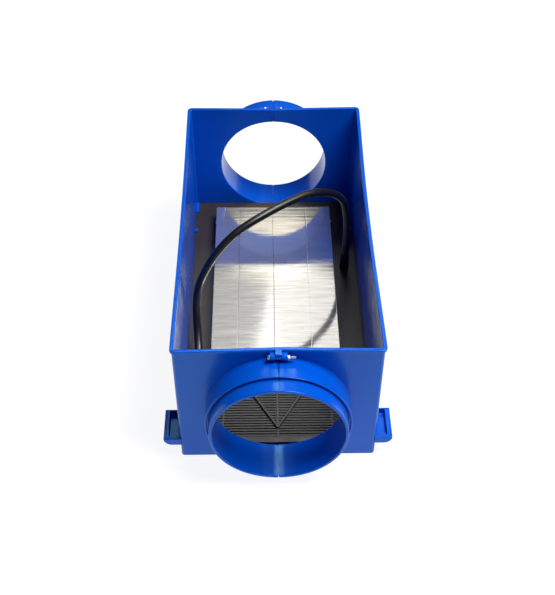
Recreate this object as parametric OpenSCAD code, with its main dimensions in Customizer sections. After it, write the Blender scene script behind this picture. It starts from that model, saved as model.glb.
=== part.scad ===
// Ducted grow lamp: a two-half moulded plenum with a duct spigot on each end,
// standing on a black lamp tray that carries a shrouded heat sink on top and
// a glazed LED window underneath. Millimetres. +Z up, +Y to the rear end,
// origin at the bottom centre of the housing.

/* [Housing] */
// Outside length of the rim, front to rear
rim_l = 430; // [420:1:440]
// Outside width of the rim
rim_w = 225; // [222:1:230]
// Height of the housing
box_h = 178; // [176:1:184]
// Thickness of the moulded walls
wall_t = 2.6; // [2:0.1:3]
// How far the rim lip stands proud of the wall
lip = 1.8; // [1:0.1:2.4]
// Height of the rim lip
lip_h = 4.2; // [3:0.1:6]
// Width of the gap along the seam between the halves
seam = 0.4; // [0.2:0.1:0.8]

/* [Duct spigots] */
// Outside diameter of the outer step, for 150 mm duct
duct_d = 150; // [148:0.5:150]
// Outside diameter of the root step, for 160 mm duct
root_d = 158; // [156:0.5:160]
// Inside diameter of the duct way
bore_d = 142; // [136:0.5:142]
// Length of the root step from the rim plane
root_l = 24.5; // [20:0.5:30]
// Length of the whole spigot from the rim plane
spigot_l = 39.5; // [36:0.5:46]
// Height of the duct axis
duct_z = 87.1; // [86.6:0.1:88]

/* [Side pockets] */
// Length of a pocket along the wall
pock_y = 43; // [38:1:48]
// How far a pocket stands out of the wall
pock_x = 18.7; // [16:0.1:22]
// Height of a pocket's underside
pock_z = 19.5; // [16:0.5:26]
// Height of a pocket from underside to rim
pock_h = 10.5; // [9:0.5:16]
// Width of the pocket's outer rim
pock_rim = 5.6; // [4:0.1:7]

/* [Lamp tray] */
// Height of the tray's top face
tray_z = 19; // [18:0.5:19]
// Thickness of the tray's top plate
tray_t = 3.5; // [3:0.1:4]

/* [Heat sink] */
// Height of the bright shroud's top face
shroud_z = 38; // [36:0.5:44]
// Thickness of the shroud sheet
shroud_t = 1; // [0.8:0.1:1.4]
// Number of cooling fins between the two edge fins
fin_n = 24; // [12:1:30]
// Thickness of a cooling fin
fin_t = 1.2; // [0.8:0.1:2]

/* [Louvre] */
// Pitch of the louvre slats
slat_p = 3.8; // [3.6:0.1:4]
// Width of a louvre slat
slat_w = 2.5; // [1.8:0.1:2.8]
// Height of the raised ribs over the slats
vrib_h = 3.2; // [1:0.1:5]

/* [Mains lead] */
// Diameter of the lead's sheath
cord_d = 9.5; // [8:0.1:9.5]
// Number of sides of the lead's tube
cord_sides = 12; // [8:1:12]

/* [Hidden] */
$fn = 96;
wall_w = rim_w - 2*lip;
wall_l = rim_l - 2*lip;
in_w = wall_w - 2*wall_t;
in_l = wall_l - 2*wall_t;
flange_t = 4;
flange_w = 7.2;
open_w = in_w - 2*flange_w;
open_l = in_l - 2*flange_w;
// where the side walls meet the end walls, clear of the corner fillets
side_y = in_l/2 - 2;
// clamp screw axis over the spigot root
clamp_y = rim_l/2 + 3;
clamp_z = box_h - 5.4;
boss_r = 3;
boss_x = 9.2;
// clear width between the two bosses
lug_gap = 7.2;
// tray outline and the hollow under its top plate
tray_w = in_w - 0.8;
tray_l = in_l - 0.8;
skirt = 6;
pock_w = tray_w - 2*skirt;
pock_l = tray_l - 2*skirt;
ceil_z = tray_z - tray_t;
// heat sink block, as seen from above
sink_x0 = -78.6;
sink_x1 = 76.6;
sink_y0 = -115;
sink_y1 = 178;
sink_mid = (sink_x0 + sink_x1)/2;
strip_cuts = [-47, -2, 43];
// LED window
win_w = 161;
win_y0 = -112;
win_y1 = 190;
rib_t = 3.5;
glass_z0 = 4.6;
glass_z1 = 7.5;
board_z0 = ceil_z - 1.6;
// louvre opening in the tray's top plate
louv_w = 153;
louv_y0 = -202.8;
louv_n = 20;
louv_l = louv_n*slat_p + 1.4;
// bushing where the lead leaves the tray
lead_x = 92;
lead_y = 76;
// axis of the in-line connector lying on the tray
conn_x = -93;
conn_z = 30;

bezel_pts = [for (s = [-1, 1], y = [-190, -95, 0, 112, 190]) [s*95.5, y]];
tray_pts = [for (s = [-1, 1], y = [-170, -60, 60, 170]) [s*(in_w/2 - flange_w/2), y]];

// route of the lead, from inside the tray to the back of the connector
route = [
    [92, 76, 12], [92, 76, 28], [92, 76, 46], [93, 79, 67], [93, 81, 90],
    [91, 81, 112], [87, 77, 131], [80, 70, 146], [70, 61, 159], [58, 52, 168],
    [44, 42, 175], [30, 32, 178], [14, 20, 179], [-2, 8, 179], [-15, -1, 177],
    [-28, -9, 174], [-41, -16, 169], [-54, -23, 161], [-67, -30, 149],
    [-80, -36, 130], [-89, -40, 111], [-94, -43, 94], [-96, -48, 76],
    [-96, -56, 60], [-95, -67, 47], [-94, -81, 37], [-93, -98, 31.5],
    [-93, -118, 30], [-93, -140, 30]
];

// ---------- shared shapes ----------

// rounded rectangle about the origin
module rr(w, l, r) {
    square([w - 2*r, l], center = true);
    square([w, l - 2*r], center = true);
    for (x = [-1, 1], y = [-1, 1])
        translate([x*(w/2 - r), y*(l/2 - r)]) circle(r);
}

// block with its lowest corner at a and highest at b
module blk(a, b) { translate(a) cube(b - a); }

// cylinder along X from x0 to x1
module xcyl(x0, x1, r) { translate([x0, 0, 0]) rotate([0, 90, 0]) cylinder(r = r, h = x1 - x0); }

// cylinder along Y from y0 to y1
module ycyl(y0, y1, r) { translate([0, y1, 0]) rotate([90, 0, 0]) cylinder(r = r, h = y1 - y0); }

// solid of revolution about Y: points are [radius, y]
module yrev(pts) { rotate([-90, 0, 0]) rotate_extrude() polygon([for (p = pts) [p[0], p[1]]]); }

// countersunk screw pointing up, head face at z = 0
module csk_up(r, head_r, len) {
    difference() {
        rotate_extrude() polygon([[0, 0], [head_r, 0], [head_r, 0.3], [r, 0.3 + head_r - r], [r, len - 0.6], [r - 0.5, len], [0, len]]);
        for (a = [0, 90]) rotate(a) translate([-head_r*0.6, -0.35, -0.1]) cube([head_r*1.2, 0.7, 1.1]);
    }
}

// pan head screw pointing along +Z, under side of the head at z = 0
module pan_up(r, head_r, head_h, len) {
    difference() {
        rotate_extrude() polygon([[0, -head_h], [head_r*0.62, -head_h], [head_r*0.9, -head_h*0.7], [head_r, -head_h*0.3], [head_r, 0], [r, 0], [r, len - 0.6], [r - 0.5, len], [0, len]]);
        for (a = [0, 90]) rotate(a) translate([-head_r*0.55, -0.4, -head_h - 0.1]) cube([head_r*1.1, 0.8, head_h*0.6]);
    }
}

// ---------- housing ----------

module spigot() {
    // stepped tube through the front end wall
    translate([0, 0, duct_z])
        yrev([[bore_d/2, -in_l/2], [root_d/2, -in_l/2],
              [root_d/2, -rim_l/2 - root_l], [duct_d/2, -rim_l/2 - root_l],
              [duct_d/2, -rim_l/2 - spigot_l], [bore_d/2, -rim_l/2 - spigot_l]]);
}

module clamp_lug() {
    // horizontal boss under the rim on the front end, and the tongue that joins it to the rim
    translate([0, -clamp_y, clamp_z]) xcyl(lug_gap/2, boss_x, boss_r);
    blk([lug_gap/2, -clamp_y, clamp_z - boss_r], [boss_x, -rim_l/2 + lip + 0.5, clamp_z + boss_r - 0.7]);
    blk([-1, -clamp_y - 1.4, clamp_z + boss_r - 0.7], [lug_gap/2 + 0.4, -rim_l/2 + 0.5, box_h]);
}

module pocket_solid() {
    // pocket on the right wall near the front end, outline seen from the front
    x0 = wall_w/2;
    x1 = wall_w/2 + pock_x;
    r = pock_h - 1;
    translate([0, -rim_l/2 + 1.5 + pock_y, 0]) rotate([90, 0, 0]) linear_extrude(pock_y) {
        translate([x0, pock_z]) square([x1 - x0 - r, pock_h]);
        translate([x0, pock_z + r]) square([x1 - x0, pock_h - r]);
        translate([x1 - r, pock_z + r]) intersection() { circle(r); translate([0, -r]) square(r); }
    }
}

module pocket_hollow() {
    // open at the top, closed at the foot
    blk([wall_w/2 - 1, -rim_l/2 + 6.1, pock_z + 2.5], [wall_w/2 + pock_x - pock_rim, -rim_l/2 - 0.7 + pock_y, pock_z + pock_h + 1]);
}

module tray_tab(y, l) {
    // lug inside the right wall that keeps the tray down
    blk([in_w/2 - 3.2, y - l/2, tray_z + 0.2], [in_w/2 + 0.5, y + l/2, tray_z + 3]);
}

// Each half of the housing is one moulding. It is split here into flat walls,
// half spigots, base flange, pockets and lugs that meet face to face. The modules
// are the right half's front end; the left half is the right one turned half a turn.

module wall_solid() {
    translate([0, 0, flange_t]) linear_extrude(box_h - flange_t) rr(wall_w, wall_l, 4);
    translate([0, 0, box_h - lip_h]) linear_extrude(lip_h) rr(rim_w, rim_l, 5);
}

module wall_ring() {
    difference() {
        wall_solid();
        translate([0, 0, flange_t - 1]) linear_extrude(box_h) rr(in_w, in_l, 2);
    }
}

module left_of_seam() { blk([-400, -400, -10], [seam/2, 400, 300]); }

module half_side_wall() {
    intersection() {
        wall_ring();
        blk([in_w/2 - 1, -side_y, 0], [rim_w, side_y, box_h + 1]);
    }
    for (s = [-1, 1]) { tray_tab(s*198, 20); tray_tab(s*150, 6); }
}

module half_end_wall() {
    difference() {
        intersection() {
            wall_ring();
            blk([seam/2, -rim_l, 0], [rim_w, -side_y, box_h + 1]);
        }
        translate([0, 0, duct_z]) ycyl(-rim_l, 0, root_d/2 + 0.05);
    }
}

module half_spigot() {
    difference() { spigot(); left_of_seam(); }
}

module half_flange() {
    difference() {
        linear_extrude(flange_t) rr(wall_w, wall_l, 4);
        translate([0, 0, -1]) linear_extrude(flange_t + 2) rr(open_w, open_l, 3);
        for (p = tray_pts) translate([p[0], p[1], 0]) {
            translate([0, 0, -1]) cylinder(r = 1.8, h = flange_t + 2);
            translate([0, 0, -1]) cylinder(r = 3.2, h = 1.5);
            translate([0, 0, 0.5]) cylinder(r1 = 3.2, r2 = 1.8, h = 1.4);
        }
        left_of_seam();
    }
}

module half_pocket() {
    difference() {
        pocket_solid();
        pocket_hollow();
    }
}

module half_lugs() {
    for (m = [0, 1]) mirror([0, m, 0]) difference() {
        clamp_lug();
        wall_solid();
        translate([0, 0, duct_z]) ycyl(-rim_l, 0, root_d/2 + 0.05);
        translate([0, -clamp_y, clamp_z]) xcyl(-30, 30, 1.7);
        left_of_seam();
    }
}

module blue() { color([0.02, 0.22, 0.72]) children(); }
module right_side_wall() { blue() half_side_wall(); }
module right_front_wall() { blue() half_end_wall(); }
module right_rear_wall() { blue() mirror([0, 1, 0]) half_end_wall(); }
module right_front_spigot() { blue() half_spigot(); }
module right_rear_spigot() { blue() mirror([0, 1, 0]) half_spigot(); }
module right_base_flange() { blue() half_flange(); }
module right_front_pocket() { blue() half_pocket(); }
module right_rear_pocket() { blue() mirror([0, 1, 0]) half_pocket(); }
module right_clamp_lugs() { blue() half_lugs(); }
module left_side_wall() { rotate(180) right_side_wall(); }
module left_front_wall() { rotate(180) right_rear_wall(); }
module left_rear_wall() { rotate(180) right_front_wall(); }
module left_front_spigot() { rotate(180) right_rear_spigot(); }
module left_rear_spigot() { rotate(180) right_front_spigot(); }
module left_base_flange() { rotate(180) right_base_flange(); }
module left_front_pocket() { rotate(180) right_rear_pocket(); }
module left_rear_pocket() { rotate(180) right_front_pocket(); }
module left_clamp_lugs() { rotate(180) right_clamp_lugs(); }

// ---------- clamp fasteners ----------

module clamp_screw() {
    translate([-boss_x - 0.1, -clamp_y, clamp_z]) rotate([0, 90, 0]) pan_up(1.5, 2.8, 2.2, boss_x + 18.1);
}

module clamp_nut() {
    translate([boss_x + 0.2, -clamp_y, clamp_z]) rotate([0, 90, 0]) difference() {
        cylinder(r = 3.175, h = 2.4, $fn = 6);
        translate([0, 0, -1]) cylinder(r = 1.58, h = 6);
    }
}

module front_clamp_screw() { color([0.75, 0.75, 0.74]) clamp_screw(); }
module front_clamp_nut() { color([0.75, 0.75, 0.74]) clamp_nut(); }
module rear_clamp_screw() { color([0.75, 0.75, 0.74]) rotate(180) clamp_screw(); }
module rear_clamp_nut() { color([0.75, 0.75, 0.74]) rotate(180) clamp_nut(); }

// ---------- lamp tray ----------

module lamp_tray() {
    color([0.05, 0.05, 0.05]) difference() {
        union() {
            difference() {
                translate([0, 0, flange_t]) linear_extrude(tray_z - flange_t) rr(tray_w, tray_l, 2);
                translate([0, 0, flange_t - 1]) linear_extrude(ceil_z - flange_t + 1) rr(pock_w, pock_l, 3);
            }
            // rib frame that the window glass bears on
            difference() {
                blk([-win_w/2 - rib_t, win_y0 - rib_t, glass_z1], [win_w/2 + rib_t, win_y1 + rib_t, ceil_z + 0.5]);
                blk([-win_w/2, win_y0, glass_z1 - 1], [win_w/2, win_y1, ceil_z + 1]);
            }
            for (p = bezel_pts) translate([p[0], p[1], flange_t]) cylinder(r = 3.5, h = tray_z - flange_t - 1);
        }
        for (p = bezel_pts) translate([p[0], p[1], flange_t - 1]) cylinder(r = 1.35, h = 8);
        for (p = tray_pts) translate([p[0], p[1], flange_t - 1]) cylinder(r = 1.55, h = 9);
        // louvre opening, bushing hole and the heat sink's screw holes
        blk([-louv_w/2 - 0.2, louv_y0 - 0.2, ceil_z - 1], [louv_w/2 + 0.2, louv_y0 + louv_l + 0.2, tray_z + 1]);
        translate([lead_x, lead_y, ceil_z - 1]) cylinder(r = 5.6, h = 9);
        for (p = sink_screw_pts()) translate([p[0], p[1], ceil_z - 1]) cylinder(r = 2.2, h = 9);
        for (p = board_screw_pts()) translate([p[0], p[1], ceil_z - 1]) cylinder(r = 1.35, h = 3.4);
    }
}

function sink_screw_pts() = [for (x = [-52, 0, 52], y = [-12, 88]) [x, y]];
function board_y() = [-62, 38, 138];
function board_screw_pts() = [for (yc = board_y(), x = [-69, 69], y = [-40, 40]) [x, yc + y]];

module tray_screws() {
    color([0.6, 0.6, 0.6]) for (p = tray_pts) translate([p[0], p[1], 0.35]) csk_up(1.45, 2.8, 10);
}

module louvre_grille() {
    y1 = louv_y0 + louv_l;
    color([0.09, 0.09, 0.09]) union() {
        // frame: side rails, end rails and the flanges under the tray plate
        for (s = [-1, 1]) {
            blk([min(s*(louv_w/2 - 3), s*louv_w/2), louv_y0, ceil_z], [max(s*(louv_w/2 - 3), s*louv_w/2), y1, tray_z]);
            blk([min(s*(louv_w/2 - 3), s*(louv_w/2 + 4)), louv_y0, ceil_z - 1.6], [max(s*(louv_w/2 - 3), s*(louv_w/2 + 4)), y1, ceil_z - 0.05]);
            blk([min(s*(louv_w/2 - 3), s*(louv_w/2)), louv_y0, ceil_z - 1], [max(s*(louv_w/2 - 3), s*(louv_w/2)), y1, ceil_z + 1]);
        }
        for (i = [0 : louv_n - 1])
            blk([-louv_w/2 + 1, louv_y0 + i*slat_p, ceil_z + 0.6], [louv_w/2 - 1, louv_y0 + i*slat_p + slat_w, tray_z]);
        blk([-louv_w/2 + 1, y1 - 1.4, ceil_z], [louv_w/2 - 1, y1, tray_z]);
        // ribs along the air stream, under the slats
        for (x = [-63, 0, 63])
            blk([x - 1, louv_y0, ceil_z], [x + 1, y1, tray_z]);
        // raised V of ribs, its tip towards the front spigot
        intersection() {
            translate([0, -190.7, ceil_z + 1]) for (s = [-1, 1]) rotate(-s*30)
                translate([-1.1, 0, 0]) cube([2.2, 90, tray_z - ceil_z - 1 + vrib_h]);
            blk([-louv_w/2, louv_y0, 0], [louv_w/2, y1 - 0.5, 40]);
        }
    }
}

// ---------- heat sink and shroud ----------

module heat_sink() {
    xa = sink_x0 + shroud_t;
    xb = sink_x1 - shroud_t;
    top = shroud_z - shroud_t;
    pitch = (xb - xa - 8)/(fin_n + 1);
    color([0.72, 0.73, 0.74]) difference() {
        translate([0, sink_y1, 0]) rotate([90, 0, 0]) linear_extrude(sink_y1 - sink_y0) {
            translate([xa, tray_z]) square([xb - xa, 4]);
            for (x = [xa, xb - 4]) translate([x, tray_z]) square([4, top - tray_z]);
            for (i = [1 : fin_n]) translate([xa + 4 + i*pitch - fin_t/2, tray_z]) square([fin_t, top - tray_z]);
        }
        for (p = sink_screw_pts()) translate([p[0], p[1], tray_z - 1]) cylinder(r = 2.05, h = 4);
        for (p = shroud_screw_pts()) translate([0, p[1], p[2]]) {
            if (p[0] < 0) xcyl(xa - 1, xa + 3.4, 1.55); else xcyl(xb - 3.4, xb + 1, 1.55);
        }
    }
}

function shroud_screw_pts() = [for (s = [-1, 1], y = [-95, 31, 158]) [s, y, tray_z + 9]];

module heat_sink_screws() {
    color([0.6, 0.6, 0.6]) for (p = sink_screw_pts()) translate([p[0], p[1], ceil_z - 0.05]) pan_up(1.95, 3.5, 1.9, 5.8);
}

module shroud_panels() {
    z0 = shroud_z - shroud_t;
    n = len(strip_cuts);
    color([0.86, 0.87, 0.88]) difference() {
        union() {
            for (i = [0 : n]) {
                a = i == 0 ? sink_x0 : strip_cuts[i - 1] + 0.2;
                b = i == n ? sink_x1 : strip_cuts[i] - 0.2;
                blk([a, sink_y0, z0], [b, sink_y1, shroud_z]);
            }
            blk([sink_x0, sink_y0, tray_z + 2], [sink_x0 + shroud_t, sink_y1, z0 + 0.5]);
            blk([sink_x1 - shroud_t, sink_y0, tray_z + 2], [sink_x1, sink_y1, z0 + 0.5]);
        }
        for (p = shroud_screw_pts()) translate([0, p[1], p[2]]) {
            if (p[0] < 0) xcyl(sink_x0 - 1, sink_x0 + 3, 1.7); else xcyl(sink_x1 - 3, sink_x1 + 1, 1.7);
        }
    }
}

module shroud_screws() {
    color([0.7, 0.7, 0.7]) for (p = shroud_screw_pts())
        if (p[0] < 0) translate([sink_x0 - 0.05, p[1], p[2]]) rotate([0, 90, 0]) pan_up(1.45, 2.7, 1.7, 4);
        else translate([sink_x1 + 0.05, p[1], p[2]]) rotate([0, -90, 0]) pan_up(1.45, 2.7, 1.7, 4);
}

// ---------- light source and window ----------

module led_boards() {
    color([0.92, 0.92, 0.9]) difference() {
        for (yc = board_y()) blk([-75, yc - 46, board_z0], [75, yc + 46, ceil_z]);
        for (p = board_screw_pts()) translate([p[0], p[1], 0]) cylinder(r = 1.7, h = 30);
    }
}

module led_chips() {
    color([0.95, 0.82, 0.35]) for (yc = board_y(), i = [0 : 5], j = [0 : 3])
        blk([-55 + i*22 - 1.75, yc - 30 + j*20 - 1.75, board_z0 - 0.8], [-55 + i*22 + 1.75, yc - 30 + j*20 + 1.75, board_z0]);
}

module led_board_screws() {
    color([0.6, 0.6, 0.6]) for (p = board_screw_pts()) translate([p[0], p[1], board_z0 - 0.05]) pan_up(1.25, 2.6, 1.6, 3.6);
}

module window_glass() {
    color([0.8, 0.9, 0.9, 0.35])
        blk([-win_w/2 - rib_t, win_y0 - rib_t, glass_z0], [win_w/2 + rib_t, win_y1 + rib_t, glass_z1]);
}

module window_gasket() {
    color([0.1, 0.1, 0.1]) difference() {
        blk([-win_w/2 - rib_t, win_y0 - rib_t, flange_t], [win_w/2 + rib_t, win_y1 + rib_t, glass_z0]);
        blk([-win_w/2 + 0.5, win_y0 + 0.5, 0], [win_w/2 - 0.5, win_y1 - 0.5, 10]);
    }
}

module window_bezel() {
    color([0.06, 0.06, 0.06]) difference() {
        translate([0, 0, 0.8]) linear_extrude(flange_t - 0.8) rr(open_w - 1, open_l - 1, 2.5);
        blk([-win_w/2 + 1.5, win_y0 + 1.5, -1], [win_w/2 - 1.5, win_y1 - 1.5, 10]);
        for (p = bezel_pts) translate([p[0], p[1], 0.8]) {
            translate([0, 0, -1]) cylinder(r = 1.6, h = 9);
            translate([0, 0, -1]) cylinder(r = 3, h = 1.4);
            translate([0, 0, 0.4]) cylinder(r1 = 3, r2 = 1.6, h = 1.4);
        }
    }
}

module bezel_screws() {
    color([0.6, 0.6, 0.6]) for (p = bezel_pts) translate([p[0], p[1], 1.05]) csk_up(1.25, 2.6, 8.5);
}

// ---------- electrics ----------

module driver_board() {
    color([0.05, 0.3, 0.12]) difference() {
        blk([-68, -197, 5.6], [68, -130, 7.2]);
        for (x = [-64, 64], y = [-193, -134]) translate([x, y, 0]) cylinder(r = 1.6, h = 20);
    }
}

module driver_spacers() {
    color([0.9, 0.9, 0.88]) for (x = [-64, 64], y = [-193, -134]) translate([x, y, flange_t]) difference() {
        union() { cylinder(r = 3, h = 1.6); cylinder(r = 1.45, h = 4); }
        translate([0, 0, 1.6]) cylinder(r = 0.6, h = 3);
    }
}

module driver_parts() {
    color([0.15, 0.15, 0.16]) union() {
        blk([-40, -186, 7.2], [-18, -164, 10.6]);
        blk([-10, -188, 7.2], [2, -170, 10.4]);
        for (i = [0 : 3]) blk([14 + i*11, -188, 7.2], [21 + i*11, -178, 9.4]);
        for (i = [0 : 2]) translate([20 + i*14, -158, 7.2]) cylinder(r = 5, h = 3.4);
        blk([-52, -152, 7.2], [-20, -142, 9.6]);
        blk([-6, -152, 7.2], [4, -142, 9.8]);
    }
}

module terminal_block() {
    color([0.85, 0.85, 0.82]) difference() {
        blk([84.6, -134, flange_t + 0.1], [98, -113, ceil_z - 0.1]);
        for (i = [0 : 2]) translate([85.8 + i*2.5, 0, 8.4]) ycyl(-122, -100, 1.1);
        for (i = [0 : 2]) translate([87.2 + i*4.2, -127, flange_t]) cylinder(r = 1.4, h = 3);
    }
}

module supply_leads() {
    color([0.4, 0.25, 0.15]) for (i = [0 : 2]) translate([85.8 + i*2.5, 0, 8.4]) ycyl(-121.5, 66, 1);
}

// ---------- lead and connector ----------

module cable_bushing() {
    color([0.03, 0.03, 0.03]) translate([lead_x, lead_y, 0]) rotate_extrude() polygon([
        [4.9, ceil_z - 2.5], [6.8, ceil_z - 2.5], [6.8, ceil_z - 0.05], [5.5, ceil_z - 0.05], [5.5, tray_z + 0.05],
        [6.2, tray_z + 0.05], [6.2, tray_z + 2], [5.9, tray_z + 4], [5.3, tray_z + 24], [5.1, tray_z + 25], [4.9, tray_z + 25]]);
}

function unit(v) = v/norm(v);
function tangent(p, i) = i == 0 ? unit(p[1] - p[0])
    : i == len(p) - 1 ? unit(p[i] - p[i - 1])
    : unit(unit(p[i + 1] - p[i]) + unit(p[i] - p[i - 1]));
function across(p, i) = let (t = tangent(p, i), u = i == 0 ? [1, 0, 0] : across(p, i - 1)) unit(u - (u*t)*t);
function ring(p, i, r, n) = let (t = tangent(p, i), u = across(p, i), w = cross(t, u))
    [for (k = [0 : n - 1]) p[i] + r*cos(360*k/n)*u + r*sin(360*k/n)*w];

module tube(p, r, n) {
    m = len(p);
    polyhedron(
        points = [for (i = [0 : m - 1]) each ring(p, i, r, n)],
        faces = concat(
            [[for (k = [0 : n - 1]) k]],
            [for (i = [0 : m - 2], k = [0 : n - 1]) [i*n + k, (i + 1)*n + k, (i + 1)*n + (k + 1)%n]],
            [for (i = [0 : m - 2], k = [0 : n - 1]) [i*n + k, (i + 1)*n + (k + 1)%n, i*n + (k + 1)%n]],
            [[for (k = [n - 1 : -1 : 0]) (m - 1)*n + k]]));
}

module mains_lead() { color([0.03, 0.03, 0.03]) tube(route, cord_d/2, cord_sides); }

module connector_tail() {
    color([0.04, 0.04, 0.04]) translate([conn_x, 0, conn_z]) yrev([
        [0, -140.1], [4.9, -140.1], [4.9, -120], [5.6, -120], [6, -121], [7.4, -142], [8.4, -144], [8.4, -146], [0, -146]]);
}

module connector_body() {
    color([0.06, 0.06, 0.06]) translate([conn_x, 0, conn_z]) yrev([
        [0, -146.1], [9.2, -146.1], [9.6, -147], [9.6, -167], [8.2, -167], [8.2, -188.6], [7.8, -189], [7, -189], [7, -172], [0, -172]]);
}

module connector_ring() {
    color([0.08, 0.08, 0.08]) translate([conn_x, 0, conn_z]) difference() {
        yrev([[8.5, -167.5], [9.7, -167.5], [10.3, -168.2], [10.3, -188.2], [9.7, -189], [8.5, -189]]);
        for (a = [0 : 15 : 359]) rotate([0, a, 0]) translate([10.6, 0, 0]) ycyl(-186, -170, 0.6);
    }
}

module connector_insert() {
    color([0.55, 0.55, 0.53]) translate([conn_x, 0, conn_z]) difference() {
        ycyl(-180, -172.1, 6.8);
        for (a = [0 : 120 : 359]) rotate([0, a, 0]) translate([3.4, 0, 0]) ycyl(-190, -173, 1.1);
    }
}

module connector_pins() {
    color([0.8, 0.66, 0.3]) translate([conn_x, 0, conn_z])
        for (a = [0 : 120 : 359]) rotate([0, a, 0]) translate([3.4, 0, 0])
            yrev([[0, -187.5], [0.5, -187.5], [1, -186.6], [1, -173.2], [0, -173.2]]);
}

left_side_wall();
left_front_wall();
left_rear_wall();
left_front_spigot();
left_rear_spigot();
left_base_flange();
left_front_pocket();
left_rear_pocket();
left_clamp_lugs();
right_side_wall();
right_front_wall();
right_rear_wall();
right_front_spigot();
right_rear_spigot();
right_base_flange();
right_front_pocket();
right_rear_pocket();
right_clamp_lugs();
front_clamp_screw();
front_clamp_nut();
rear_clamp_screw();
rear_clamp_nut();
lamp_tray();
tray_screws();
louvre_grille();
heat_sink();
heat_sink_screws();
shroud_panels();
shroud_screws();
led_boards();
led_chips();
led_board_screws();
window_glass();
window_gasket();
window_bezel();
bezel_screws();
driver_board();
driver_parts();
driver_spacers();
terminal_block();
supply_leads();
cable_bushing();
mains_lead();
connector_tail();
connector_body();
connector_ring();
connector_insert();
connector_pins();
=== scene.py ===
import math
import random

import bmesh
import bpy
import numpy as np
from mathutils import Matrix, Vector


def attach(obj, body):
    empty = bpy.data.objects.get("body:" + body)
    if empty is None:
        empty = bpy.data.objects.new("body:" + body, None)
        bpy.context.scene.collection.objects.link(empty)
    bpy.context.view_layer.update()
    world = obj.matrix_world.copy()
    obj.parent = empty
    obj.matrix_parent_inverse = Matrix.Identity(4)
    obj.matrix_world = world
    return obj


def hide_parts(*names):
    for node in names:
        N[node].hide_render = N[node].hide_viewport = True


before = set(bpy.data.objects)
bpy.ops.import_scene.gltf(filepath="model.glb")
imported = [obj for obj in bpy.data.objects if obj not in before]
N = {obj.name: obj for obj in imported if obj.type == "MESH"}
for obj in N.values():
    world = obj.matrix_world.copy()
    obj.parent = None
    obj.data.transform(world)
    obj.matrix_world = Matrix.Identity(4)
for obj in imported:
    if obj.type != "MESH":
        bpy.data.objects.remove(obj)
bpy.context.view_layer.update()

scene = bpy.context.scene
MM = 0.001
rng = random.Random(11)

# ------------------------------------------------------------------ camera

F_PX, PITCH, YAW, ROLL = 1044.13, math.radians(45.297), math.radians(1.006), math.radians(0.204)
cam_data = bpy.data.cameras.new("camera")
cam_data.sensor_fit = "AUTO"
cam_data.sensor_width = 36.0
cam_data.lens = F_PX*36.0/595.0
cam_data.clip_start = 0.01
cam = bpy.data.objects.new("camera", cam_data)
scene.collection.objects.link(cam)
fwd = Vector((math.sin(YAW)*math.cos(PITCH), math.cos(YAW)*math.cos(PITCH), -math.sin(PITCH)))
right = Vector((math.cos(YAW), -math.sin(YAW), 0))
up = right.cross(fwd)
r2 = math.cos(ROLL)*right + math.sin(ROLL)*up
u2 = -math.sin(ROLL)*right + math.cos(ROLL)*up
m = Matrix((r2, u2, -fwd)).transposed().to_4x4()
m.translation = Vector((-0.01382, -0.92717, 0.97667))
cam.matrix_world = m
scene.camera = cam

# ------------------------------------------------------------------ materials


def nodes_of(name):
    mt = bpy.data.materials.new(name)
    mt.use_nodes = True
    nt = mt.node_tree
    return mt, nt, nt.nodes["Principled BSDF"]


def link(nt, a, b):
    nt.links.new(a, b)


def coords(nt, scale=(1, 1, 1)):
    tc = nt.nodes.new("ShaderNodeTexCoord")
    mp = nt.nodes.new("ShaderNodeMapping")
    mp.inputs["Scale"].default_value = scale
    link(nt, tc.outputs["Object"], mp.inputs["Vector"])
    return mp.outputs["Vector"]


def noise(nt, vec, scale, detail=3.0, rough=0.55):
    n = nt.nodes.new("ShaderNodeTexNoise")
    n.inputs["Scale"].default_value = scale
    n.inputs["Detail"].default_value = detail
    n.inputs["Roughness"].default_value = rough
    link(nt, vec, n.inputs["Vector"])
    return n.outputs["Fac"]


def ramp(nt, fac, stops):
    r = nt.nodes.new("ShaderNodeValToRGB")
    e = r.color_ramp.elements
    while len(e) < len(stops):
        e.new(0.5)
    for el, (p, c) in zip(e, stops):
        el.position = p
        el.color = (*c, 1) if len(c) == 3 else c
    link(nt, fac, r.inputs["Fac"])
    return r.outputs["Color"]


def remap(nt, fac, lo, hi, a=0.3, b=0.7):
    r = nt.nodes.new("ShaderNodeMapRange")
    r.inputs["From Min"].default_value = a
    r.inputs["From Max"].default_value = b
    r.inputs["To Min"].default_value = lo
    r.inputs["To Max"].default_value = hi
    link(nt, fac, r.inputs["Value"])
    return r.outputs["Result"]


def bump(nt, height, strength, dist, base=None):
    b = nt.nodes.new("ShaderNodeBump")
    b.inputs["Strength"].default_value = strength
    b.inputs["Distance"].default_value = dist
    link(nt, height, b.inputs["Height"])
    if base is not None:
        link(nt, base, b.inputs["Normal"])
    return b.outputs["Normal"]


def shade(c, k):
    return tuple(max(0.0, min(1.0, v*k)) for v in c)


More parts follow.
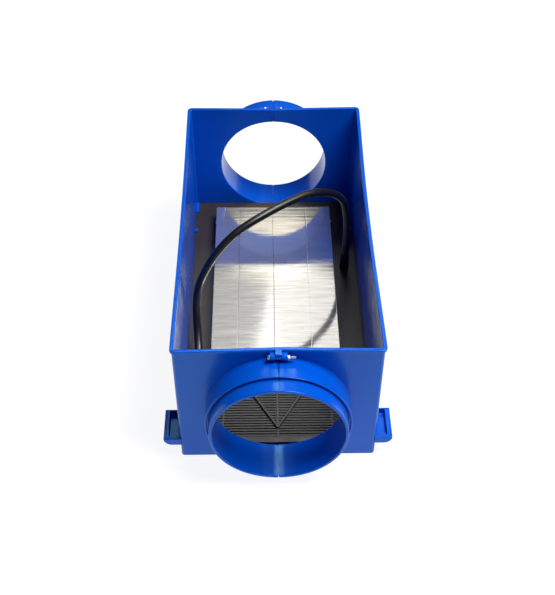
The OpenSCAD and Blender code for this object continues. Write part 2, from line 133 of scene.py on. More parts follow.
def surface(name, color, rough, metal=0.0, var=0.12, var_scale=18, dr=0.06, r_scale=60,
            grain=900, grain_h=0.05, grain_d=0.0002, stretch=(1, 1, 1), spec=0.5, wave=0.0, wave_scale=25,
            coat=0.0, coat_rough=0.2, mottle=None, tint=None):
    """Painted, moulded or metal surface: colour drift, roughness drift, fine grain and a slight waviness."""
    mt, nt, b = nodes_of(name)
    v = coords(nt, stretch)
    n1 = noise(nt, v, var_scale, 4)
    stops = [(0.25, shade(color, 1 - var)), (0.55, color), (0.8, mottle or shade(color, 1 + var))]
    link(nt, ramp(nt, n1, stops), b.inputs["Base Color"])
    n2 = noise(nt, v, r_scale, 3)
    link(nt, remap(nt, n2, rough - dr, rough + dr), b.inputs["Roughness"])
    b.inputs["Metallic"].default_value = metal
    b.inputs["Specular IOR Level"].default_value = spec
    if tint:
        b.inputs["Specular Tint"].default_value = (*tint, 1)
    if coat:
        b.inputs["Coat Weight"].default_value = coat
        b.inputs["Coat Roughness"].default_value = coat_rough
    base = None
    if wave:
        base = bump(nt, noise(nt, v, wave_scale, 1), 1.0, wave)
    n3 = noise(nt, v, grain, 2)
    link(nt, bump(nt, n3, grain_h, grain_d, base), b.inputs["Normal"])
    return mt


M = {}
M["blue"] = surface("blue_moulding", (0.0004, 0.088, 0.60), 0.20, var=0.05, var_scale=9, dr=0.04, r_scale=45,
                    grain=1600, grain_h=0.05, grain_d=0.00012, wave=0.0005, wave_scale=16, spec=0.5, tint=(0.30, 0.78, 1.0))
M["tray"] = surface("satin_black_coat", (0.040, 0.0310, 0.0240), 0.36, var=0.22, var_scale=26, dr=0.06,
                    grain=1300, grain_h=0.14, grain_d=0.00015, spec=0.5)
M["louvre"] = surface("black_moulding", (0.056, 0.053, 0.048), 0.40, var=0.22, var_scale=40, dr=0.07,
                      grain=1500, grain_h=0.1, grain_d=0.00012)
M["zinc"] = surface("zinc_plate", (0.74, 0.735, 0.71), 0.36, metal=1.0, var=0.08, var_scale=220, dr=0.08,
                    r_scale=400, grain=2600, grain_h=0.1, grain_d=0.00008)
M["fins"] = surface("mill_aluminium", (0.70, 0.71, 0.72), 0.38, metal=1.0, var=0.06, var_scale=60, dr=0.08,
                    stretch=(30, 1, 30), grain=40, grain_h=0.15, grain_d=0.0001)
M["sheath"] = surface("lead_sheath", (0.0050, 0.0047, 0.0046), 0.38, var=0.2, var_scale=70, dr=0.06,
                      grain=1700, grain_h=0.12, grain_d=0.00012, spec=0.7)
M["rubber"] = surface("black_rubber", (0.014, 0.0138, 0.0135), 0.5, var=0.2, var_scale=90, dr=0.07,
                      grain=1900, grain_h=0.2, grain_d=0.00015)
M["moulding"] = surface("connector_moulding", (0.02, 0.02, 0.021), 0.42, var=0.2, var_scale=90, dr=0.06,
                        grain=1800, grain_h=0.15, grain_d=0.00012)
M["insert"] = surface("grey_insulator", (0.30, 0.30, 0.285), 0.5, var=0.08, var_scale=120)
M["brass"] = surface("contact_brass", (0.78, 0.58, 0.26), 0.22, metal=1.0, var=0.1, var_scale=300, grain=2600)
M["white_board"] = surface("white_solder_mask", (0.80, 0.80, 0.77), 0.38, var=0.04, var_scale=40, grain=1200)
M["green_board"] = surface("green_solder_mask", (0.02, 0.17, 0.06), 0.36, var=0.15, var_scale=120, grain=1400)
M["parts"] = surface("component_bodies", (0.05, 0.05, 0.055), 0.45, var=0.3, var_scale=90, grain=1500)
M["nylon"] = surface("natural_nylon", (0.74, 0.73, 0.68), 0.45, var=0.06, var_scale=120, grain=1500)
M["cores"] = surface("core_insulation", (0.30, 0.15, 0.08), 0.4, var=0.3, var_scale=140, grain=1500)


def phosphor():
    mt, nt, b = nodes_of("led_phosphor")
    v = coords(nt)
    link(nt, ramp(nt, noise(nt, v, 900, 4), [(0.3, (0.80, 0.56, 0.10)), (0.7, (0.92, 0.74, 0.24))]), b.inputs["Base Color"])
    link(nt, remap(nt, noise(nt, v, 700), 0.22, 0.4), b.inputs["Roughness"])
    link(nt, bump(nt, noise(nt, v, 1500), 0.1, 0.0001), b.inputs["Normal"])
    return mt


def bright_sheet():
    """Bright rolled aluminium: fine rolling streaks across the block, faint smears."""
    mt, nt, b = nodes_of("bright_rolled_aluminium")
    v = coords(nt, (1, 14, 1))
    n1 = noise(nt, v, 24, 5, 0.6)
    link(nt, ramp(nt, n1, [(0.30, (0.72, 0.71, 0.68)), (0.5, (0.86, 0.85, 0.81)), (0.72, (0.97, 0.96, 0.92))]), b.inputs["Base Color"])
    n2 = noise(nt, coords(nt, (1, 5, 1)), 30, 4)
    link(nt, remap(nt, n2, 0.05, 0.13, 0.3, 0.75), b.inputs["Roughness"])
    b.inputs["Metallic"].default_value = 0.86
    n3 = noise(nt, coords(nt, (0.35, 10, 1)), 40, 3)
    link(nt, bump(nt, n3, 0.35, 0.00001), b.inputs["Normal"])
    return mt


def clear_glass():
    mt, nt, b = nodes_of("clear_glass")
    v = coords(nt)
    link(nt, ramp(nt, noise(nt, v, 14, 3), [(0.3, (0.90, 0.96, 0.94)), (0.7, (0.95, 0.985, 0.97))]), b.inputs["Base Color"])
    link(nt, remap(nt, noise(nt, v, 50, 4), 0.0, 0.035), b.inputs["Roughness"])
    b.inputs["Transmission Weight"].default_value = 1.0
    b.inputs["IOR"].default_value = 1.48
    link(nt, bump(nt, noise(nt, v, 8, 1), 0.2, 0.0001), b.inputs["Normal"])
    return mt


M["phosphor"] = phosphor()
M["sheet"] = bright_sheet()
M["glass"] = clear_glass()

# ------------------------------------------------------------------ mesh tools (millimetres in, metres out)


def add(name, verts, faces, mat=None):
    me = bpy.data.meshes.new(name)
    me.from_pydata([(x*MM, y*MM, z*MM) for x, y, z in verts], [], faces)
    me.validate()
    ob = bpy.data.objects.new(name, me)
    scene.collection.objects.link(ob)
    bm = bmesh.new()
    bm.from_mesh(me)
    bmesh.ops.recalc_face_normals(bm, faces=bm.faces)
    bm.to_mesh(me)
    bm.free()
    if mat:
        me.materials.append(mat)
    return ob


def bake(ob):
    """Apply an object's modifiers to its mesh."""
    bpy.context.view_layer.update()
    dg = bpy.context.evaluated_depsgraph_get()
    me = bpy.data.meshes.new_from_object(ob.evaluated_get(dg))
    old = ob.data
    ob.modifiers.clear()
    ob.data = me
    bpy.data.meshes.remove(old)
    return ob


def drop(ob):
    me = ob.data
    bpy.data.objects.remove(ob)
    bpy.data.meshes.remove(me)


def combine(a, b, op):
    md = a.modifiers.new("b", "BOOLEAN")
    md.operation = op
    md.object = b
    md.solver = "MANIFOLD"
    bake(a)
    drop(b)
    return a


def merged(name, obs, mat=None):
    bm = bmesh.new()
    for o in obs:
        bm.from_mesh(o.data)
    me = bpy.data.meshes.new(name)
    bm.to_mesh(me)
    bm.free()
    for o in obs:
        drop(o)
    ob = bpy.data.objects.new(name, me)
    scene.collection.objects.link(ob)
    if mat:
        me.materials.append(mat)
    return ob


def moved(ob, mat4):
    ob.data.transform(mat4)
    if mat4.to_3x3().determinant() < 0:
        ob.data.flip_normals()
    return ob


def dup(ob, name=None):
    o = bpy.data.objects.new(name or ob.name, ob.data.copy())
    scene.collection.objects.link(o)
    return o


def arc(cx, cy, r, a0, a1, n):
    return [(cx + r*math.cos(math.radians(a0 + (a1 - a0)*i/n)), cy + r*math.sin(math.radians(a0 + (a1 - a0)*i/n))) for i in range(n + 1)]


def rev(name, prof, axis="Z", at=(0, 0, 0), n=64, mat=None, phase=0.0):
    """Solid of revolution of a closed profile of (radius, along)."""
    verts, faces, rows = [], [], []

    def place(r, t, a):
        u, w = r*math.cos(a), r*math.sin(a)
        if axis == "Z":
            p = (u, w, t)
        elif axis == "Y":
            p = (u, t, w)
        else:
            p = (t, u, w)
        return (p[0] + at[0], p[1] + at[1], p[2] + at[2])
    for r, t in prof:
        if r < 1e-6:
            rows.append([len(verts)])
            verts.append(place(0, t, 0))
        else:
            rows.append(list(range(len(verts), len(verts) + n)))
            verts += [place(r, t, phase + 2*math.pi*i/n) for i in range(n)]
    k = len(rows)
    for i in range(k):
        a, b = rows[i], rows[(i + 1) % k]
        if len(a) == 1 and len(b) == 1:
            continue
        for j in range(n):
            j2 = (j + 1) % n
            if len(a) == 1:
                faces.append((a[0], b[j], b[j2]))
            elif len(b) == 1:
                faces.append((a[j], b[0], a[j2]))
            else:
                faces.append((a[j], b[j], b[j2], a[j2]))
    return add(name, verts, faces, mat)


def rbox(name, lo, hi, r=0.6, seg=3, mat=None):
    """Block with rounded edges."""
    ob = add(name, [(x, y, z) for x in (lo[0], hi[0]) for y in (lo[1], hi[1]) for z in (lo[2], hi[2])],
             [(0, 1, 3, 2), (4, 6, 7, 5), (0, 4, 5, 1), (2, 3, 7, 6), (0, 2, 6, 4), (1, 5, 7, 3)], mat)
    if r > 0:
        bm = bmesh.new()
        bm.from_mesh(ob.data)
        bmesh.ops.bevel(bm, geom=bm.edges[:], offset=r*MM, segments=seg, profile=0.5, affect="EDGES", clamp_overlap=True)
        bm.to_mesh(ob.data)
        bm.free()
    return ob


def prism(name, poly, lo, hi, axis="Y", mat=None):
    """Polygon extruded along an axis: for Y it is (x, z), for Z (x, y), for X (y, z)."""
    def put(p, t):
        return {"Y": (p[0], t, p[1]), "Z": (p[0], p[1], t), "X": (t, p[0], p[1])}[axis]
    n = len(poly)
    verts = [put(p, lo) for p in poly] + [put(p, hi) for p in poly]
    faces = [tuple(range(n)), tuple(range(n, 2*n))] + [(i, (i + 1) % n, n + (i + 1) % n, n + i) for i in range(n)]
    return add(name, verts, faces, mat)


def rounded(ob, width, seg=3, angle=40):
    md = ob.modifiers.new("bevel", "BEVEL")
    md.width = width*MM
    md.segments = seg
    md.limit_method = "ANGLE"
    md.angle_limit = math.radians(angle)
    return bake(ob)


def smooth(ob, angle=35, weighted=True):
    me = ob.data
    me.shade_smooth()
    me.set_sharp_from_angle(angle=math.radians(angle))
    if weighted:
        md = ob.modifiers.new("normals", "WEIGHTED_NORMAL")
        md.keep_sharp = True
        md.weight = 80
    return ob


def finish_piece(ob, body, slot, *nodes):
    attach(ob, body)
    if nodes:
        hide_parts(*nodes)
    return ob


# ------------------------------------------------------------------ mains lead

ROUTE = [(92, 76, 12), (92, 76, 28), (92, 76, 46), (93, 79, 67), (93, 81, 90), (91, 81, 112), (87, 77, 131),
         (80, 70, 146), (70, 61, 159), (58, 52, 168), (44, 42, 175), (30, 32, 177.9), (14, 20, 178.75), (-2, 8, 178.75),
         (-15, -1, 177), (-28, -9, 174), (-41, -16, 169), (-54, -23, 161), (-67, -30, 149), (-80, -36, 130),
         (-89, -40, 111), (-94, -43, 94), (-96, -48, 76), (-96, -56, 60), (-95, -67, 47), (-94, -81, 37),
         (-93, -98, 31.5), (-93, -118, 30), (-93, -140, 30)]


def curve_through(pts, per=12):
    """Centripetal Catmull-Rom line through the route's points."""
    P = [np.array(p, float) for p in pts]
    P = [2*P[0] - P[1]] + P + [2*P[-1] - P[-2]]
    out = []
    for i in range(1, len(P) - 2):
        p0, p1, p2, p3 = P[i - 1:i + 3]
        t0 = 0.0
        t1 = t0 + np.linalg.norm(p1 - p0)**0.5
        t2 = t1 + np.linalg.norm(p2 - p1)**0.5
        t3 = t2 + np.linalg.norm(p3 - p2)**0.5
        for k in range(per):
            t = t1 + (t2 - t1)*k/per
            a1 = (t1 - t)/(t1 - t0)*p0 + (t - t0)/(t1 - t0)*p1
            a2 = (t2 - t)/(t2 - t1)*p1 + (t - t1)/(t2 - t1)*p2
            a3 = (t3 - t)/(t3 - t2)*p2 + (t - t2)/(t3 - t2)*p3
            b1 = (t2 - t)/(t2 - t0)*a1 + (t - t0)/(t2 - t0)*a2
            b2 = (t3 - t)/(t3 - t1)*a2 + (t - t1)/(t3 - t1)*a3
            out.append((t2 - t)/(t2 - t1)*b1 + (t - t1)/(t2 - t1)*b2)
    out.append(P[-2])
    Q = np.array(out)
    for _ in range(60):
        Q[1:-1] = 0.25*Q[:-2] + 0.5*Q[1:-1] + 0.25*Q[2:]
    return Q


def tube(name, path, r, n=28, mat=None):
    verts, faces = [], []
    u = np.array([1.0, 0.0, 0.0])
    k = len(path)
    for i, p in enumerate(path):
        t = path[min(i + 1, k - 1)] - path[max(i - 1, 0)]
        t /= np.linalg.norm(t)
        u = u - (u @ t)*t
        u /= np.linalg.norm(u)
        w = np.cross(t, u)
        for j in range(n):
            a = 2*math.pi*j/n
            verts.append(tuple(p + r*(math.cos(a)*u + math.sin(a)*w)))
    for i in range(k - 1):
        for j in range(n):
            j2 = (j + 1) % n
            faces.append((i*n + j, i*n + j2, (i + 1)*n + j2, (i + 1)*n + j))
    faces.append(tuple(range(n)))
    faces.append(tuple((k - 1)*n + j for j in range(n)))
    return add(name, verts, faces, mat)


path = curve_through(ROUTE)
lead = tube("lead", path, 4.75, mat=M["sheath"])
smooth(lead, 50, False)
finish_piece(lead, "housing", "lead_sheath", "mains_lead")

# bushing: collar on the tray, then a tapered sleeve with three shallow rings
prof = [(4.75, 13.0), (5.5, 13.0), (5.5, 18.9), (6.2, 19.05), (6.2, 21.2), (6.0, 21.6), (5.75, 21.8)]
for i in range(3):
    z = 24.5 + 5.2*i
    r = 5.72 - 0.1*i
    prof += [(r, z), (r - 0.28, z + 0.4), (r - 0.28, z + 1.0), (r - 0.03, z + 1.4)]
prof += [(5.25, 41.5), (5.15, 43.2), (5.0, 43.8), (4.8, 44.0), (4.75, 44.0)]
bushing = rev("bushing", prof, "Z", (92, 76, 0), 48, M["rubber"])
smooth(bushing, 40)
finish_piece(bushing, "housing", "black_rubber", "cable_bushing")

# ------------------------------------------------------------------ blue housing halves

WX, WY, WR = 110.7, 213.2, 4.0
DZ, CY, CZ = 87.1, -218.0, 172.6


def stations(step=11.0, n=6):
    """Points of the wall's outer outline with outward normals, once round."""
    out = []

    def line(x0, y0, x1, y1, nx, ny):
        L = math.hypot(x1 - x0, y1 - y0)
        k = max(1, int(round(L/step)))
        for i in range(1, k):
            t = i/k
            out.append((x0 + (x1 - x0)*t, y0 + (y1 - y0)*t, nx, ny))

    def corner(cx, cy, a0):
        for i in range(n + 1):
            a = math.radians(a0 + 90*i/n)
            out.append((cx + WR*math.cos(a), cy + WR*math.sin(a), math.cos(a), math.sin(a)))
    a, b = WX - WR, WY - WR
    line(WX, -b, WX, b, 1, 0)
    corner(a, b, 0)
    line(a, WY, -a, WY, 0, 1)
    corner(-a, b, 90)
    line(-WX, b, -WX, -b, -1, 0)
    corner(-a, -b, 180)
    line(-a, -WY, a, -WY, 0, -1)
    corner(a, -b, 270)
    return out


def wall_profile():
    p = [(-2.6, 0.0), (-0.6, 0.0)] + arc(-0.6, 0.6, 0.6, -90, 0, 3)[1:]
    p += [(0, z) for z in np.linspace(12, 164, 14)]
    p += [(0, 173.2), (0.3, 173.7)]
    p += arc(1.2, 174.4, 0.6, -90, 0, 3)
    p += [(1.8, 176.9)] + arc(0.7, 176.9, 1.1, 0, 90, 5)[1:]
    p += [(-0.5, 178.0)] + arc(-1.7, 177.1, 0.9, 90, 180, 4)
    p += [(-2.6, z) for z in np.linspace(164, 12, 14)]
    return p


def ring_sweep(name, st, prof):
    k, n = len(st), len(prof)
    verts = [(x + nx*o, y + ny*o, z) for x, y, nx, ny in st for o, z in prof]
    faces = []
    for i in range(k):
        i2 = (i + 1) % k
        for j in range(n):
            j2 = (j + 1) % n
            faces.append((i*n + j, i*n + j2, i2*n + j2, i2*n + j))
    return add(name, verts, faces)


def rect_loop(w, l, r, n=6):
    out = []
    for cx, cy, a0 in ((w/2 - r, l/2 - r, 0), (-w/2 + r, l/2 - r, 90), (-w/2 + r, -l/2 + r, 180), (w/2 - r, -l/2 + r, 270)):
        out += arc(cx, cy, r, a0, a0 + 90, n)
    return out


def flange_ring():
    levels = [(221.0, 426.0, 3.8, 0.0), (221.2, 426.2, 3.9, 0.1), (221.2, 426.2, 3.9, 4.0),
              (202.4, 407.4, 3.3, 4.0), (201.8, 406.8, 3.0, 3.6), (201.8, 406.8, 3.0, 0.4), (202.4, 407.4, 3.3, 0.0)]
    verts, faces = [], []
    for w, l, r, z in levels:
        verts += [(x, y, z) for x, y in rect_loop(w, l, r)]
    n = len(verts)//len(levels)
    for i in range(len(levels)):
        i2 = (i + 1) % len(levels)
        for j in range(n):
            j2 = (j + 1) % n
            faces.append((i*n + j, i*n + j2, i2*n + j2, i2*n + j))
    return add("flange", verts, faces)


TURN = Matrix.Rotation(math.pi, 4, "Z")
FLIPY = Matrix.Diagonal((1, -1, 1, 1))
FLIPX = Matrix.Diagonal((-1, 1, 1, 1))


def both_ends(maker):
    a = maker()
    b = moved(dup(a), TURN)
    return merged(a.name, [a, b])


def spigot_solid():
    # root step with a shallow groove behind its end edge, then the outer step
    p = [(69.5, -211.4), (79, -211.4), (79, -222), (79, -231), (79, -238.6)] + arc(78.1, -238.6, 0.9, 0, -90, 4)
    p += [(77.8, -239.5), (77.5, -239.1), (77.3, -236.6), (75.5, -236.4), (75, -236.9)]
    p += [(74.85, -246), (74.6, -253.2)] + arc(73.3, -253.2, 1.3, 0, -90, 5) + [(69.5, -254.5)]
    return rev("spigot", p, "Y", (0, 0, DZ), 144)


def bore_cutter():
    p = [(0, -260.5), (77, -260.5), (72.3, -254.7)] + arc(72.3, -253.4, 1.3, 270, 180, 5)
    p += [(71, -248), (71, -238), (71, -226), (71, -212.0)] + arc(72.4, -212.0, 1.4, 180, 90, 5)
    p += [(72.4, -206), (0, -206)]
    return rev("bore", p, "Y", (0, 0, DZ), 144)


def boss():
    p = [(0, 3.6), (2.75, 3.6), (3.0, 3.85), (3.0, 8.85), (2.65, 9.2), (0, 9.2)]
    a = rev("boss", p, "X", (0, CY, CZ), 40)
    return merged("boss", [a, moved(dup(a), FLIPX)])


def sleeve():
    return rev("sleeve", [(0, -3.8), (2.4, -3.8), (2.4, 3.8), (0, 3.8)], "X", (0, CY, CZ), 32)


def lug_block():
    a = rbox("lugblock", (3.6, CY, 169.6), (9.2, -212.4, 174.9), 0.4, 2)
    return merged("lugblock", [a, moved(dup(a), FLIPX)])


def lug_web():
    return rbox("web", (-3.7, -219.4, 175.0), (3.7, -212.6, 178.0), 0.6, 3)


def boss_hole():
    return rev("hole", [(0, -30), (1.7, -30), (1.7, 30), (0, 30)], "X", (0, CY, CZ), 32)


def pocket_one():
    poly = [(109.2, 19.5)] + arc(119.9, 29.0, 9.5, -90, 0, 10) + [(129.4, 30.0), (109.2, 30.0)]
    body = rounded(prism("pocket", poly, -213.5, -170.5, "Y"), 1.3, 3)
    room = rbox("room", (100.0, -208.9, 22.0), (123.8, -172.7, 60), 1.2, 3)
    combine(body, room, "DIFFERENCE")
    return rounded(body, 0.5, 2, 50)


def tab_one(y, l):
    return rbox("tab", (104.9, y - l/2, 19.2), (109.2, y + l/2, 22.0), 0.5, 2)


def seam_grooves():
    """Narrow open joint along the seam of the front end, in every face that shows it."""
    g = 0.62
    cuts = []
    for y0, y1, z0, z1 in ((-240.2, -214.6, 76.2, 79.8), (-256, -236.6, 72.7, 75.8), (-256, -211.0, 70.0, 72.2)):
        cuts.append(rbox("g", (-g, y0, DZ + z0), (g, y1, DZ + z1), 0))
        cuts.append(rbox("g", (-g, y0, DZ - z1), (g, y1, DZ - z0), 0))
    cuts.append(rbox("g", (-g, -213.6, 165.0), (g, -212.4, 176.0), 0))
    cuts.append(rbox("g", (-g, -211.2, 157.6), (g, -210.2, 177.2), 0))
    cuts.append(rbox("g", (-g, -215.4, 177.3), (g, -210.0, 178.4), 0))
    cuts.append(rbox("g", (-g, -213.6, -1.0), (g, -212.4, 9.0), 0))
    cuts.append(rbox("g", (-g, -239.9, DZ - 79.4), (g, -238.9, DZ - 74.8), 0))
    cuts.append(rbox("g", (-g, -239.9, DZ + 74.8), (g, -238.9, DZ + 79.4), 0))
    cuts.append(rbox("g", (-g, -254.9, DZ - 75.4), (g, -253.9, DZ - 70.6), 0))
    cuts.append(rbox("g", (-g, -254.9, DZ + 70.6), (g, -253.9, DZ + 75.4), 0))
    return cuts


def csk(x, y):
    return rev("csk", [(0, -1), (3.2, -1), (3.2, 0.5), (1.8, 1.9), (1.8, 5), (0, 5)], "Z", (x, y, 0), 24)


def housing():
    h = ring_sweep("housing_halves", stations(), wall_profile())
    combine(h, flange_ring(), "UNION")
    combine(h, both_ends(spigot_solid), "UNION")
    for mk in (lug_block, boss, sleeve):
        combine(h, both_ends(mk), "UNION")
    combine(h, both_ends(lug_web), "UNION")
    pockets = [pocket_one()]
    pockets.append(moved(dup(pockets[0]), FLIPY))
    pockets += [moved(dup(o), FLIPX) for o in pockets[:2]]
    combine(h, merged("pockets", pockets), "UNION")
    tabs = [tab_one(s*y, l) for s in (-1, 1) for y, l in ((198, 20), (150, 6))]
    tabs += [moved(dup(o), FLIPX) for o in tabs]
    combine(h, merged("tabs", tabs), "UNION")
    combine(h, both_ends(bore_cutter), "DIFFERENCE")
    combine(h, both_ends(boss_hole), "DIFFERENCE")
    for c in seam_grooves():
        combine(h, moved(dup(c), TURN), "DIFFERENCE")
        combine(h, c, "DIFFERENCE")
    holes = [csk(s*104.5, y) for s in (-1, 1) for y in (-170, -60, 60, 170)]
    combine(h, merged("holes", holes), "DIFFERENCE")
    return h


def half(h, name, side):
    ob = dup(h, name)
    lo, hi = (0.02, 160) if side > 0 else (-160, -0.02)
    combine(ob, rbox("cut", (lo, -300, -20), (hi, 300, 220), 0), "INTERSECT")
    bm = bmesh.new()
    bm.from_mesh(ob.data)
    bmesh.ops.remove_doubles(bm, verts=bm.verts, dist=1e-6)
    on = {v for v in bm.verts if abs(abs(v.co.x) - 0.00002) < 1e-6}
    flat = [f for f in bm.faces if all(v in on for v in f.verts)]
    edges = [e for e in bm.edges if e.verts[0] in on and e.verts[1] in on
             and sum(f in flat for f in e.link_faces) == 1]
    bmesh.ops.bevel(bm, geom=edges, offset=0.2*MM, segments=2, profile=0.5, affect="EDGES", clamp_overlap=True)
    bm.to_mesh(ob.data)
    bm.free()
    # the walls lean in a little between the corners, most at the rim; slight draft; spigot ends a touch tall
    me = ob.data
    co = np.empty(len(me.vertices)*3)
    me.vertices.foreach_get("co", co)
    co = co.reshape(-1, 3)/MM
    ay = np.abs(co[:, 1])
    wy = np.clip(1 - (co[:, 1]/WY)**2, 0, 1)**1.5
    wz = np.clip((co[:, 2] - 30)/148, 0, 1)**1.2
    wx = np.clip((np.abs(co[:, 0]) - 100)/8, 0, 1)
    co[:, 0] -= side*wx*((2.8 if side > 0 else 1.5)*wy*wz + 0.35*np.clip(1 - co[:, 2]/178, 0, 1))
    we = np.clip((216.5 - ay)/1.5, 0, 1)*np.clip((ay - 206)/3, 0, 1)*np.clip((co[:, 2] - 120)/58, 0, 1)
    co[:, 1] -= np.sign(co[:, 1])*2.6*we*np.clip(1 - np.abs(co[:, 0])/WX, 0, 1)**1.3
    co[:, 2] += 0.006*(co[:, 2] - DZ)*np.clip((ay - 217)/18, 0, 1)*np.clip((170 - co[:, 2])/3, 0, 1)
    co *= MM
    me.vertices.foreach_set("co", co.ravel())
    me.update()
    me.materials.clear()
    me.materials.append(M["blue"])
    smooth(ob, 32)
    tag = "right" if side > 0 else "left"
    finish_piece(ob, "housing", "blue_plastic", *[f"{tag}_{q}" for q in (
        "side_wall", "front_wall", "rear_wall", "front_spigot", "rear_spigot", "base_flange", "front_pocket", "rear_pocket", "clamp_lugs")])
    return ob


whole = housing()
half(whole, "right_half", 1)
half(whole, "left_half", -1)
drop(whole)

# ------------------------------------------------------------------ clamp screws and nuts


def thread_shank(r, pitch, x0, x1, n=28):
    """Shank along X with a helical thread, closed at both ends."""
    rows = []
    steps = int(round((x1 - x0)/pitch*10))
    verts, faces = [], []
    for i in range(steps + 1):
        x = x0 + (x1 - x0)*i/steps
        row = []
        for j in range(n):
            a = 2*math.pi*j/n
            ph = ((x/pitch) + j/n) % 1.0
            d = 0.22*min(1.0, 2.2*abs(ph - 0.5))
            rr = r - d
            end = min(1.0, (x1 - x)/0.7)
            rr = rr*(0.82 + 0.18*end)
            row.append(len(verts))
            verts.append((x, rr*math.cos(a), rr*math.sin(a)))
        rows.append(row)
    for a, b in zip(rows, rows[1:]):
        for j in range(n):
            j2 = (j + 1) % n
            faces.append((a[j], a[j2], b[j2], b[j]))
    faces.append(tuple(rows[0]))
    faces.append(tuple(rows[-1]))
    return add("shank", verts, faces)


def clamp_screw(name, turn, body, node):
    head = rev("head", [(0, -11.5), (1.6, -11.5), (2.2, -11.2), (2.6, -10.6), (2.8, -9.9), (2.8, -9.45), (2.65, -9.3), (1.4, -9.3), (1.4, -8.2), (0, -8.2)], "X", n=48)
    cut = merged("recess", [rbox("c", (-11.9, -1.6, -0.32), (-10.4, 1.6, 0.32), 0)])
    combine(head, cut, "DIFFERENCE")
    combine(head, rbox("c", (-11.9, -0.32, -1.6), (-10.4, 0.32, 1.6), 0), "DIFFERENCE")
    shank = thread_shank(1.5, 0.5, -8.8, 18.0)
    combine(head, shank, "UNION")
    moved(head, Matrix.Translation((0, CY*MM, CZ*MM)))
    if turn:
        moved(head, TURN)
    head.name = name
    head.data.materials.clear()
    head.data.materials.append(M["zinc"])
    smooth(head, 35)
    return finish_piece(head, body, "zinc_steel", node)


def clamp_nut(name, turn, body, node):
    hexa = prism("hex", [(3.175*math.cos(math.radians(60*i + 90)), 3.175*math.sin(math.radians(60*i + 90))) for i in range(6)], 9.4, 11.8, "X")
    cone = rev("cone", [(0, 9.4), (2.75, 9.4), (3.3, 9.8), (3.3, 11.4), (2.75, 11.8), (0, 11.8)], "X", n=60)
    combine(hexa, cone, "INTERSECT")
    hole = rev("hole", [(0, 8), (2.0, 8), (2.0, 9.4), (1.58, 9.75), (1.58, 11.45), (2.0, 11.8), (2.0, 12.5), (0, 12.5)], "X", n=48)
    combine(hexa, hole, "DIFFERENCE")
    moved(hexa, Matrix.Translation((0, CY*MM, CZ*MM)))
    if turn:
        moved(hexa, TURN)
    hexa.name = name
    hexa.data.materials.clear()
    hexa.data.materials.append(M["zinc"])
    smooth(hexa, 25)
    return finish_piece(hexa, body, "zinc_steel", node)


clamp_screw("front_screw_piece", False, "front_screw", "front_clamp_screw")
clamp_nut("front_nut_piece", False, "front_nut", "front_clamp_nut")
clamp_screw("rear_screw_piece", True, "rear_screw", "rear_clamp_screw")
clamp_nut("rear_nut_piece", True, "rear_nut", "rear_clamp_nut")

# ------------------------------------------------------------------ louvre


def louvre():
    y0, x1 = -202.8, 76.5
    obs = []
    for i in range(20):
        ya = y0 + 1.35 + 3.8*i
        obs.append(rbox("slat", (-x1 + 0.6, ya, 15.6), (x1 - 0.6, ya + 2.5, 19.0), 0.55, 2))
    frame_bits = [rbox("f", (-x1, y0, 15.5), (-x1 + 2.2, y0 + 77.4, 19.0), 0.5, 2), rbox("f", (x1 - 2.2, y0, 15.5), (x1, y0 + 77.4, 19.0), 0.5, 2)]
    ribs = [rbox("r", (x - 1.0, y0 + 0.3, 15.7), (x + 1.0, y0 + 77.1, 19.15), 0.4, 2) for x in (-63, 0, 63)]
    out = obs[0]
    out = merged("louvre", obs)
    ends = merged("ends", frame_bits)
    combine(out, ends, "UNION")
    combine(out, merged("ribs", ribs), "UNION")
    bars = [rbox("e", (-x1 + 0.1, y0, 15.5), (x1 - 0.1, y0 + 1.3, 19.0), 0.4, 2), rbox("e", (-x1 + 0.1, y0 + 76.1, 15.5), (x1 - 0.1, y0 + 77.4, 19.0), 0.4, 2)]
    combine(out, merged("bars", bars), "UNION")
    for s in (-1, 1):
        L = 74.0
        bar = rbox("v", (-1.1, 0, 16.0), (1.1, L, 22.2), 0.6, 3)
        moved(bar, Matrix.Translation((0, -190.7*MM, 0)) @ Matrix.Rotation(-s*math.radians(30), 4, "Z"))
        combine(out, bar, "UNION")
    combine(out, rbox("trim", (-x1, y0, 5), (x1, y0 + 77.4, 25), 0), "INTERSECT")
    out.name = "louvre"
    out.data.materials.clear()
    out.data.materials.append(M["louvre"])
    smooth(out, 35)
    return finish_piece(out, "housing", "black_moulding", "louvre_grille")


louvre()

# ------------------------------------------------------------------ bright shroud


